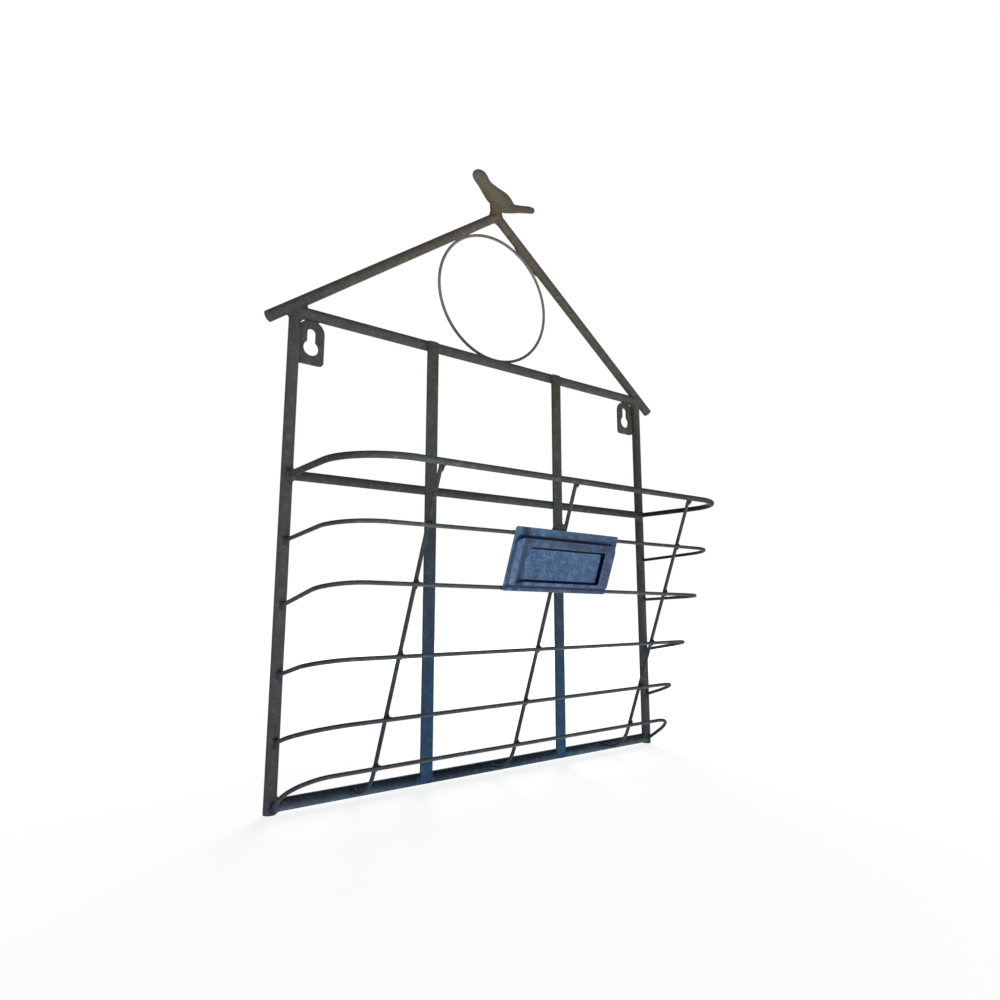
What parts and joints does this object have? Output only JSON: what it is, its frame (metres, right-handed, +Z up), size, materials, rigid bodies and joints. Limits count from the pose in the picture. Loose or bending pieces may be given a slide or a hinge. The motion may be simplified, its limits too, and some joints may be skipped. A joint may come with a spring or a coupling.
{
  "type": "letter rack",
  "caption": "House-shaped wall letter rack of welded painted rod, with a leaning wire basket, blank label holder, gable ring, ridge bird and keyhole hangers.",
  "frame": {"origin": "on the wall plane, midway between the two keyhole hangers' round holes", "axes": "+X to the right seen from the front, +Y into the wall, +Z up"},
  "size_m": [0.2908, 0.0824, 0.3769],
  "materials": {
    "frame_paint": "satin charcoal paint, lightly mottled",
    "bird_paint": "satin olive-brown paint",
    "basket_paint": "satin blue-black paint",
    "label_paint": "mottled slate-blue paint"
  },
  "bodies": {
    "root": {"left_post": "frame_paint", "right_post": "frame_paint", "left_rafter": "frame_paint", "right_rafter": "frame_paint", "tie_beam": "frame_paint", "middle_rail": "frame_paint", "gable_ring": "frame_paint", "left_hanger": "frame_paint", "right_hanger": "frame_paint", "basket_rim": "frame_paint", "bird_finial": "bird_paint", "bottom_rail": "basket_paint", "left_slat": "basket_paint", "right_slat": "basket_paint", "basket_wire_2": "basket_paint", "basket_wire_3": "basket_paint", "basket_wire_4": "basket_paint", "basket_wire_5": "basket_paint", "basket_wire_6": "basket_paint", "left_brace": "basket_paint", "middle_brace": "basket_paint", "right_brace": "basket_paint", "label_plate": "label_paint", "label_frame": "label_paint", "label_insert": "label_paint"}
  },
  "joints": []
}
